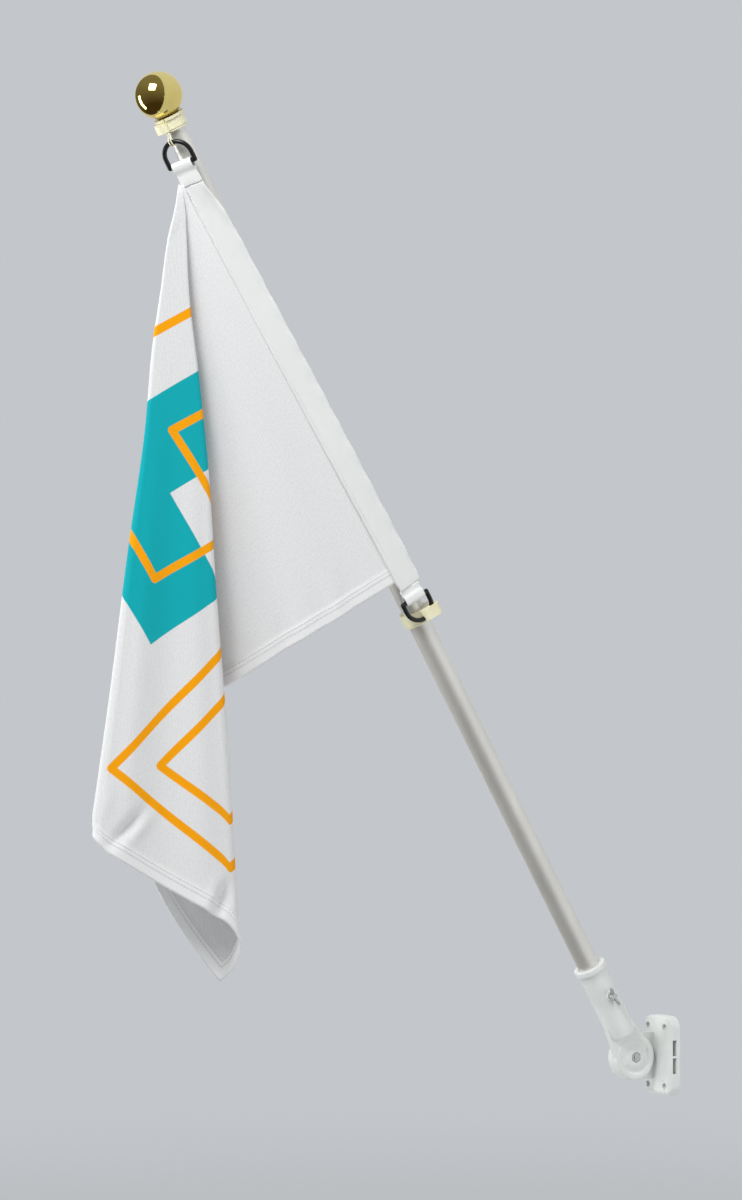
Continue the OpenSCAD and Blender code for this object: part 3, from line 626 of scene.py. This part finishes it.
def bake(piece):
    """The piece with its modifiers applied, as a plain mesh under the same name."""
    graph = bpy.context.evaluated_depsgraph_get()
    mesh = bpy.data.meshes.new_from_object(piece.evaluated_get(graph))
    piece.modifiers.clear()
    piece.data = mesh
    return piece


def thread_angles():
    """The angles of all threads: close together at the folds and wider between them."""
    marks = [(0.0, 0.42), (36.4, 0.27), (44.6, 0.38), (52.6, 0.22), (59.4, 0.32), (69.6, 0.13),
             (73.4, 0.42), (82.4, 0.12), (85.0, 0.4), (90.0, 0.4)]     # degrees, and the step from there on
    turns = []
    for (start, step), (end, _) in zip(marks, marks[1:]):
        turns += list(np.linspace(start, end, max(2, round((end - start) / step)), endpoint=False))
    return np.radians(np.array(turns + [90.0]))


FIRST = 0.002                                       # where the threads start, in metres
INNER_POINTS = 116
HEM_POINTS = np.array((0.05, 0.25, 0.45, 0.65, 0.85, 1.0))     # shares of the way through the hem
HEM_T, SINGLE_SHARE = 0.0015, 0.4                   # the hem is double, the rest is thinner

turns = thread_angles()
ends = thread_end(turns)
hem_start = np.minimum((HOIST - HEM) / np.maximum(np.cos(turns), 1e-6),
                       (FLY - HEM) / np.maximum(np.sin(turns), 1e-6))
inner_share = np.linspace(0, 1, INNER_POINTS) ** 0.92
lengths = np.concatenate([FIRST + (hem_start - FIRST)[:, None] * inner_share[None],
                          hem_start[:, None] + (ends - hem_start)[:, None] * HEM_POINTS[None]], 1)
fan = np.broadcast_to(turns[:, None], lengths.shape)
points = hang(fan, lengths)
flat = np.stack([lengths * np.sin(fan), lengths * np.cos(fan)], -1)
flag = build_mesh("flag_cloth", points.reshape(-1, 3), grid_faces(*lengths.shape),
                  flat.reshape(-1, 2), flag_knit)
doubled = flag.vertex_groups.new(name="doubled")
hem_mask = lengths * np.cos(fan) < HEM
hem_mask[:, INNER_POINTS:] = True
doubled.add([int(i) for i in np.flatnonzero(hem_mask.ravel())], 1.0, "REPLACE")
thick = flag.modifiers.new("thickness", "SOLIDIFY")
thick.thickness, thick.offset = HEM_T, 0.0
thick.vertex_group, thick.thickness_vertex_group = "doubled", SINGLE_SHARE
thick.use_even_offset = False
bake(flag)
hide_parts("flag_back_panel", "flag_middle_fold", "flag_inner_fold", "flag_fly_end",
            "flag_front_panel")
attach(flag, "flag")
print("cloth:", len(flag.data.vertices), "points,", len(flag.data.polygons), "faces")

# %% [markdown]
# The hem is held by two rows of lock stitch. Stitches repeat along a path, which is what
# Geometry Nodes are for: the rows come in as edges, they are cut up at the stitch length,
# and one small bead of thread is put on each point, lying along the row. The real stitches
# are three millimetres long, and the thread is drawn a little thick so that it shows.

# %% Stitch tree
def stitch_tree():
    """Rows of edges go in, and one bead of thread for each stitch comes out."""
    tree = bpy.data.node_groups.new("sewn_row", "GeometryNodeTree")
    sockets = tree.interface
    sockets.new_socket("Rows", in_out="INPUT", socket_type="NodeSocketGeometry")
    for name, value in (("Stitch pitch", 0.0042), ("Stitch length", 0.0031), ("Thread width", 0.0007)):
        sockets.new_socket(name, in_out="INPUT", socket_type="NodeSocketFloat").default_value = value
    sockets.new_socket("Seed", in_out="INPUT", socket_type="NodeSocketInt").default_value = 4
    sockets.new_socket("Thread", in_out="INPUT", socket_type="NodeSocketMaterial")
    sockets.new_socket("Stitches", in_out="OUTPUT", socket_type="NodeSocketGeometry")
    given = add(tree, "NodeGroupInput").outputs
    curve = add(tree, "GeometryNodeMeshToCurve", {"Mesh": given["Rows"]}).outputs[0]
    cut = add(tree, "GeometryNodeResampleCurve", {"Curve": curve, "Length": given["Stitch pitch"]},
              mode="LENGTH").outputs[0]
    bead = add(tree, "GeometryNodeMeshUVSphere",
               {"Segments": 6, "Rings": 5, "Radius": 0.5}).outputs["Mesh"]
    tangent = add(tree, "GeometryNodeInputTangent").outputs[0]
    lie = add(tree, "FunctionNodeAlignRotationToVector", {"Vector": tangent}, axis="Z").outputs[0]
    drift = add(tree, "FunctionNodeRandomValue", {2: 0.88, 3: 1.08, "Seed": given["Seed"]},
                data_type="FLOAT").outputs[1]
    long = measure(tree, NUMBER, given["Stitch length"], drift, operation="MULTIPLY")
    width = given["Thread width"]
    size = add(tree, "ShaderNodeCombineXYZ", {"X": width, "Y": width, "Z": long}).outputs[0]
    put = add(tree, "GeometryNodeInstanceOnPoints",
              {"Points": cut, "Instance": bead, "Rotation": lie, "Scale": size}).outputs[0]
    real = add(tree, "GeometryNodeRealizeInstances", {"Geometry": put}).outputs[0]
    dyed = add(tree, "GeometryNodeSetMaterial", {"Geometry": real, "Material": given["Thread"]})
    add(tree, "NodeGroupOutput", {"Stitches": dyed.outputs[0]})
    return tree


sewing_thread, tree, shader = start_material("spun_sewing_thread", Roughness=0.6, Sheen_Weight=0.2)
tone(tree, shader, noise(tree, 900, 2), "#DCDDE0", "#F4F4F5")
relief(tree, shader, noise(tree, 2600, 2), 0.05, 0.5)
ROW_TREE = stitch_tree()


def sew(name, rows, body, slot, **sizes):
    """rows: lists of points; one stitched row along each."""
    points, edges = [], []
    for row in rows:
        edges += [(len(points) + i, len(points) + i + 1) for i in range(len(row) - 1)]
        points += [tuple(p) for p in row]
    mesh = bpy.data.meshes.new(name)
    mesh.from_pydata(points, edges, [])
    piece = bpy.data.objects.new(name, mesh)
    scene.collection.objects.link(piece)
    change = piece.modifiers.new("rows", "NODES")
    change.node_group = ROW_TREE
    for socket in ROW_TREE.interface.items_tree:
        if socket.in_out == "INPUT" and socket.name in sizes:
            change[socket.identifier] = sizes[socket.name]
        if socket.in_out == "INPUT" and socket.name == "Thread":
            change[socket.identifier] = sewing_thread
    bake(piece)
    piece.data.shade_smooth()
    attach(piece, body)
    print(name, len(piece.data.polygons), "faces")
    return piece


# %% [markdown]
# The rows have to lie on the cloth whatever it does. So each one is drawn on the flat cloth
# and taken to its hung place by the same formula. Then it is moved off the middle of the
# cloth by a little over half the hem's thickness, once to each side.

# %% Hem stitches
def on_cloth(down, out, side, lift=0.00085):
    """Points on one face of the cloth, for flat places given as arrays in metres."""
    turn, length = np.arctan2(out, down), np.hypot(out, down)
    here = hang(turn, length)
    step = 1e-4
    a = hang(np.arctan2(out + step, down), np.hypot(out + step, down)) - here
    b = hang(np.arctan2(out, down + step), np.hypot(out, down + step)) - here
    normal = np.cross(a, b)
    normal /= np.linalg.norm(normal, axis=-1, keepdims=True)
    return here + side * lift * normal


def hem_rows(inset, side):
    """One row along the foot of the flag and one along its far end."""
    along_foot = np.linspace(0.03, FLY - inset, 200)
    along_fly = np.linspace(0.05, HOIST - inset, 150)
    return [on_cloth(np.full(200, HOIST - inset), along_foot, side),
            on_cloth(along_fly, np.full(150, FLY - inset), side)]


rows = [row for side in (1, -1) for inset in (HEM - 0.002, HEM - 0.0065)
        for row in hem_rows(inset, side)]
hem_thread = sew("hem_stitches", rows, "flag", "flag_cloth")

# %% [markdown]
# The header is a folded strip of strong white tape that the flag's edge is sewn into. It
# lies against the pole and turns a little round it on its way down, from the place of the
# upper buckle to the place of the lower one. It is swept here as a flat, round-edged tube
# with a slight quilting between its stitched rows and a gentle, uneven edge.

# %% Pole axes and header path
POLE_X = np.array((math.cos(POLE_LEAN), 0, math.sin(POLE_LEAN)))
POLE_Y = np.array((0.0, 1.0, 0.0))
POLE_Z = np.array((-math.sin(POLE_LEAN), 0, math.cos(POLE_LEAN)))


def on_pole(x, y, s):
    """Millimetres in the pole's own axes, measured up from the hinge, to metres in the frame."""
    x, y, s = (np.asarray(v, float)[..., None] * MM for v in (x, y, s))
    return np.array(HINGE) + x * POLE_X + y * POLE_Y + s * POLE_Z


def beside_pole(face, reach, across, s):
    """The same for a point of tape: the way it faces, how far out, how far to the side, how far up."""
    return on_pole(reach * np.cos(face) - across * np.sin(face),
                   reach * np.sin(face) + across * np.cos(face), s)


HEADER_TOP, HEADER_FOOT = 1099.5, 607.5             # millimetres up the pole
HEADER_LENGTH = HEADER_TOP - HEADER_FOOT
TOP_FACE, FOOT_FACE = math.radians(221), math.radians(270)
TOP_OUT, FOOT_OUT = 17.5, 19.3                      # millimetres from the pole's line
BAND_W, BAND_T = 31.0, 2.4


def header_place(t, across, out):
    """A point of the header, with t from 0 at the upper buckle to 1 at the lower one."""
    near_top = np.exp(-(t * HEADER_LENGTH / 26) ** 2)       # where it runs into the upper tab
    face = TOP_FACE + (FOOT_FACE - TOP_FACE) * t - math.radians(7) * near_top
    reach = TOP_OUT + (FOOT_OUT - TOP_OUT) * t + 2.0 * near_top + out
    return beside_pole(face, reach, across, HEADER_TOP - HEADER_LENGTH * t)


def band_section(width, thickness, across_count=15):
    """Closed outline of a flat band with round edges: across and out, in millimetres."""
    half, r = width / 2 - thickness / 2, thickness / 2
    flat_part = np.linspace(-half, half, across_count)
    turn = np.linspace(-math.pi / 2, math.pi / 2, 6)[1:-1]
    across = [flat_part, half + r * np.cos(turn), flat_part[::-1], -half - r * np.cos(turn)]
    out = [np.full(across_count, -r), r * np.sin(turn), np.full(across_count, r), -r * np.sin(turn)]
    return np.concatenate(across), np.concatenate(out)


def travelled(x, y):
    """How far each point of a flat outline is from its first one, along it."""
    return np.concatenate([[0], np.cumsum(np.hypot(np.diff(x), np.diff(y)))])


print("header runs", HEADER_LENGTH, "mm down the pole")

# %% Header
across, out = band_section(BAND_W, BAND_T)
t = np.linspace(0, 1, 190)[:, None]
length = t * HEADER_LENGTH
edge = np.clip(across / (BAND_W / 2), -1, 1)[None]          # -1 at one edge of the tape, 1 at the other
cushion = np.cos(across / BAND_W * 2 * math.pi * 1.9)[None] - 0.3
quilt = 0.25 * np.sign(out)[None] * cushion * (np.abs(across) < 13.5)[None]     # between the rows
wander = 0.55 * np.sin(length / 31) + 0.35 * np.sin(length / 12.3 + 1.2)
unevenly = length / 5.8 + 0.8 * np.sin(length / 40)
pucker = 0.9 * np.clip(edge, 0, 1) ** 3 * np.sin(unevenly)      # about every 36 mm
sway = 0.5 * np.sin(length / 47 + 0.6) * edge ** 3
narrow_top = 0.19 * np.exp(-(length / 24) ** 2)
narrow_foot = 0.12 * np.exp(-((HEADER_LENGTH - length) / 9) ** 2)
points = header_place(t, across[None] * (1 - narrow_top - narrow_foot) + 0.14 * wander + 0.35 * pucker,
                      out[None] + 0.7 * quilt + 0.25 * np.sin(length / 23) + 0.4 * sway + pucker * 0.55)
uv = np.stack(np.broadcast_arrays(travelled(across, out)[None] * MM, length * MM), -1)
header = build_mesh("header_band", points.reshape(-1, 3), tube_faces(len(t), len(across)),
                    uv.reshape(-1, 2), white_webbing)
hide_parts("flag_header")
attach(header, "flag")
HEADER_ROWS = ((-13.2, 1.42), (-9.4, 1.45), (-13.2, -1.42), (-9.4, -1.42))     # across and out, in mm
t_row = np.linspace(0.012, 0.988, 240)
rows = [header_place(t_row, row_across, row_out) for row_across, row_out in HEADER_ROWS]
sew("header_stitches", rows, "flag", "white_webbing")
print("header:", len(header.data.polygons), "faces")

# %% [markdown]
# Each end of the header carries a tab: a short piece of the same tape that goes round the
# bar of a buckle and back, and is sewn to the header through both layers by two rows across.
# Modelled as one strip swept round the bar, it leaves a real loop with the bar inside.

# %% Tabs
BAR_R, GAP, TAB_W, PLY = 2.5, 0.35, 24.0, 1.15      # millimetres
LOOP_R = BAR_R + GAP + PLY / 2
LAID = 0.62                                         # half the way between the two layers' middles
TAB_THREAD = {"Stitch pitch": 0.0028, "Stitch length": 0.0021, "Thread width": 0.0006}


def make_tab(name, node, bar_at, face, reach, up, tape_run):
    """up is +1 where the tape runs down from the bar, and -1 where it runs up."""
    turn = np.linspace(0, math.pi, 19)
    leg = np.linspace(-tape_run, -4.4, 9)
    leg_out = LAID + (LOOP_R - LAID) * smooth(leg, -8.5, -4.4)
    out_line = np.concatenate([leg_out, LOOP_R * np.cos(turn), -leg_out[::-1]])
    up_line = np.concatenate([leg, LOOP_R * np.sin(turn), leg[::-1]])
    step = np.gradient(np.stack([out_line, up_line], -1), axis=0)
    step /= np.linalg.norm(step, axis=1, keepdims=True)
    normal = np.stack([step[:, 1], -step[:, 0]], -1)
    cross, thick = band_section(TAB_W, PLY, 11)
    run = travelled(out_line, up_line)
    bow = 0.25 * np.sin(run / 5.0)[:, None] * (1 - (cross / 11) ** 2)[None]
    place_out = out_line[:, None] + normal[:, :1] * (thick[None] + bow)
    place_up = up_line[:, None] + normal[:, 1:] * (thick[None] + bow)
    spread = 1 + 0.05 * smooth(-up_line, 5, tape_run)[:, None]
    points = beside_pole(face, reach + place_out, cross[None] * spread, bar_at + up * place_up)
    uv = np.stack(np.broadcast_arrays(travelled(cross, thick)[None] * MM, run[:, None] * MM), -1)
    faces = [f[::up] for f in tube_faces(len(run), len(cross))]     # a mirrored tab has them turned
    tab = build_mesh(name, points.reshape(-1, 3), faces, uv.reshape(-1, 2), white_webbing)
    bm = bmesh.new()
    bm.from_mesh(tab.data)
    bmesh.ops.recalc_face_normals(bm, faces=bm.faces)
    bm.to_mesh(tab.data)
    bm.free()
    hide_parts(node)
    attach(tab, "flag")

    for lift, where in ((1.32, "front"), (-1.32, "back")):
        rows = [beside_pole(face, reach + lift, np.linspace(-10, 10, 12), bar_at + up * row_up)
                for row_up in (1.4 - tape_run, -7.6)]
        sew(f"{name}_stitches_{where}", rows, "flag", "white_webbing", **TAB_THREAD)
    return tab


UPPER_BAR, LOWER_BAR = 1123.0, 593.5
upper_tab = make_tab("upper_tab_tape", "upper_tab", UPPER_BAR, math.radians(214), 19.7, 1, 24.1)
lower_tab = make_tab("lower_tab_tape", "lower_tab", LOWER_BAR, math.radians(264), 19.3, -1, 14.4)
print("tabs:", len(upper_tab.data.polygons), len(lower_tab.data.polygons), "faces")

# %% [markdown]
# Cast and moulded parts never have sharp edges: the mould needs round corners, and paint
# rounds them further. A bevel on the CAD node itself would change the frame's mesh, and a
# voxel remesh makes flat faces bumpy. So a copy of the solid is merged, its flat faces are
# joined up again, and a narrow three-step Bevel rounds every edge sharper than a set angle.
# An edge of a third of a millimetre is enough to catch a thin line of light.

# %% Castings and mouldings with soft edges
SOFTENED = [            # name, CAD node, edge in millimetres, material, body, slot
    ("cast_base", "bracket_base", 0.35, powder_paint, "base", "cast_white"),
    ("cast_arm", "bracket_arm", 0.3, powder_paint, "arm", "cast_white"),
    ("thumb_screw", "wing_screw", 0.3, zinc_plate, "wing", "zinc"),
    ("upper_ring_moulding", "upper_ring", 0.4, cream_nylon, "flag", "cream_plastic"),
    ("upper_sleeve_moulding", "upper_ring_sleeve", 0.4, cream_nylon, "arm", "cream_plastic"),
    ("lower_ring_moulding", "lower_ring", 0.5, cream_nylon, "flag", "cream_plastic"),
    ("lower_sleeve_moulding", "lower_ring_sleeve", 0.4, cream_nylon, "arm", "cream_plastic"),
]
FLAT, SHARP = math.radians(0.6), math.radians(32)       # joined up below the one, rounded above the other

for name, node, edge_mm, material, body, slot in SOFTENED:
    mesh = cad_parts[node].data.copy()
    mesh.name = name
    piece = bpy.data.objects.new(name, mesh)
    scene.collection.objects.link(piece)
    bm = bmesh.new()
    bm.from_mesh(mesh)
    bmesh.ops.remove_doubles(bm, verts=bm.verts, dist=1e-6)
    bmesh.ops.dissolve_limit(bm, angle_limit=FLAT, verts=bm.verts, edges=bm.edges)
    bm.to_mesh(mesh)
    bm.free()
    mesh.shade_smooth()
    ease = piece.modifiers.new("soft_edges", "BEVEL")
    ease.width, ease.segments, ease.limit_method = edge_mm * MM, 3, "ANGLE"
    ease.angle_limit, ease.use_clamp_overlap = SHARP, True
    flats = piece.modifiers.new("flat_faces_stay_flat", "WEIGHTED_NORMAL")
    flats.mode, flats.weight = "FACE_AREA", 70
    bake(piece)
    piece.data.materials.clear()
    piece.data.materials.append(material)
    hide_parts(node)
    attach(piece, body)
    print(name, len(piece.data.polygons), "faces")

# %% [markdown]
# The ball is blown in two halves that are welded together, so it has a very fine raised weld
# line round its middle and a short turned-in neck where it sits on its plug. It is a turned
# form, so its outline is written down once, from the neck to the crown, and turned round the
# pole's line. A mirror finish shows every facet, so the outline has many steps.

# %% Ball with its weld line and neck
TURN_STEPS = 128
NECK = [(0.42, -0.965), (0.40, -0.945), (0.385, -0.925)]       # radius and height, in ball radii
WELD_H, WELD_W = 0.00007, 0.0005                                # metres

ball_low, ball_high = (np.array(corner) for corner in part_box("finial_ball"))
ball_r = float(ball_high[1] - ball_low[1]) / 2
ball_centre = np.array(((ball_low[0] + ball_high[0]) / 2, 0, ball_high[2] - ball_r))
outline = [(ball_r * r, ball_r * h) for r, h in NECK]
for tilt in np.radians(np.linspace(-67, 89.6, 110)):
    swell = WELD_H * math.exp(-(tilt * ball_r / WELD_W) ** 2)
    outline.append(((ball_r + swell) * math.cos(tilt), (ball_r + swell) * math.sin(tilt)))
turn = np.linspace(0, 2 * math.pi, TURN_STEPS, endpoint=False)
outward = np.cos(turn)[:, None] * POLE_X + np.sin(turn)[:, None] * POLE_Y
rings = [ball_centre + r * outward + h * POLE_Z for r, h in outline]
ball = build_mesh("gold_ball", np.concatenate(rings), tube_faces(len(outline), TURN_STEPS),
                  material=gold_coat)
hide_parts("finial_ball")
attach(ball, "arm")
print("ball: radius", round(ball_r * 1000, 1), "mm,", len(ball.data.polygons), "faces")

# %% [markdown]
# The tubes, the fasteners, the buckles and the wire link already have their true shape in the
# CAD model, so those nodes stay and only take a material.

# %% Finishes of the CAD nodes that stay
FINISH = {
    "pivot_bolt": zinc_plate, "pivot_washer": zinc_plate,
    "pivot_nut": zinc_plate, "upper_ring_screw": zinc_plate,
    "pole_lower_tube": satin_aluminium, "pole_upper_tube": satin_aluminium,
    "finial_plug": gold_coat, "upper_link": cream_nylon,
    "upper_buckle": black_acetal, "lower_buckle": black_acetal,
}
for node, material in FINISH.items():
    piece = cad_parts[node]
    piece.data.materials.clear()
    piece.data.materials.append(material)
print("finished nodes:", len(FINISH))
